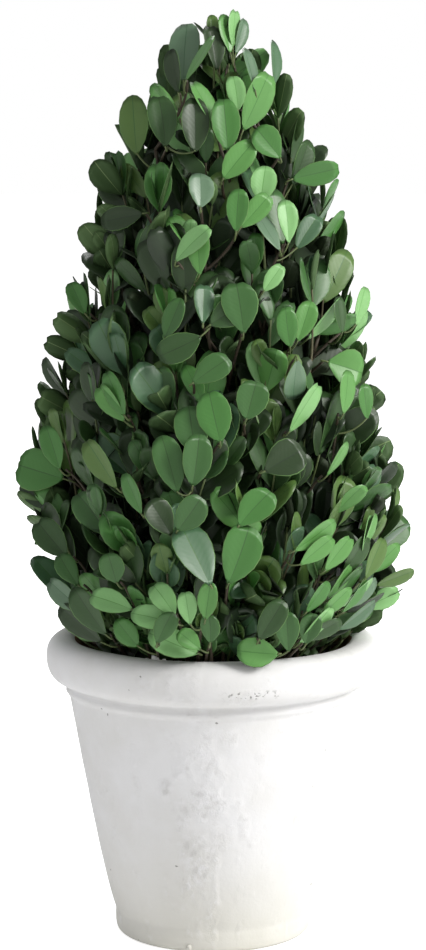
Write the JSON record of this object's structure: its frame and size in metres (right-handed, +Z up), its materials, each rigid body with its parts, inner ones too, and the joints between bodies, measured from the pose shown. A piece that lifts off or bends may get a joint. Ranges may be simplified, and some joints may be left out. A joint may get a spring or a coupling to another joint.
{
  "type": "potted boxwood cone",
  "caption": "Broad-leaved boxwood grown as a dense upright cone in a whitewashed round clay pot with a thick rolled rim.",
  "frame": {"origin": "centre of the pot's flat underside", "axes": "+Z up the trunk, -Y towards the front, +X to the right seen from the front"},
  "size_m": [0.16, 0.1603, 0.3831],
  "materials": {
    "clay": "matt limewash over fired clay",
    "potting_mix": "matt, crumbly",
    "bark": "matt, finely ridged",
    "foliage": "leathery, satin"
  },
  "bodies": {
    "root": {"pot": "clay", "potting_mix": "potting_mix", "trunk": "bark", "bough_lower_1": "bark", "bough_lower_2": "bark", "bough_lower_3": "bark", "bough_lower_4": "bark", "bough_lower_5": "bark", "bough_lower_6": "bark", "bough_upper_1": "bark", "bough_upper_2": "bark", "bough_upper_3": "bark", "bough_upper_4": "bark", "bough_upper_5": "bark", "foliage_lower_1": "foliage", "foliage_lower_2": "foliage", "foliage_lower_3": "foliage", "foliage_lower_4": "foliage", "foliage_lower_5": "foliage", "foliage_lower_6": "foliage", "foliage_upper_1": "foliage", "foliage_upper_2": "foliage", "foliage_upper_3": "foliage", "foliage_upper_4": "foliage", "foliage_upper_5": "foliage", "foliage_tip": "foliage"}
  },
  "joints": []
}
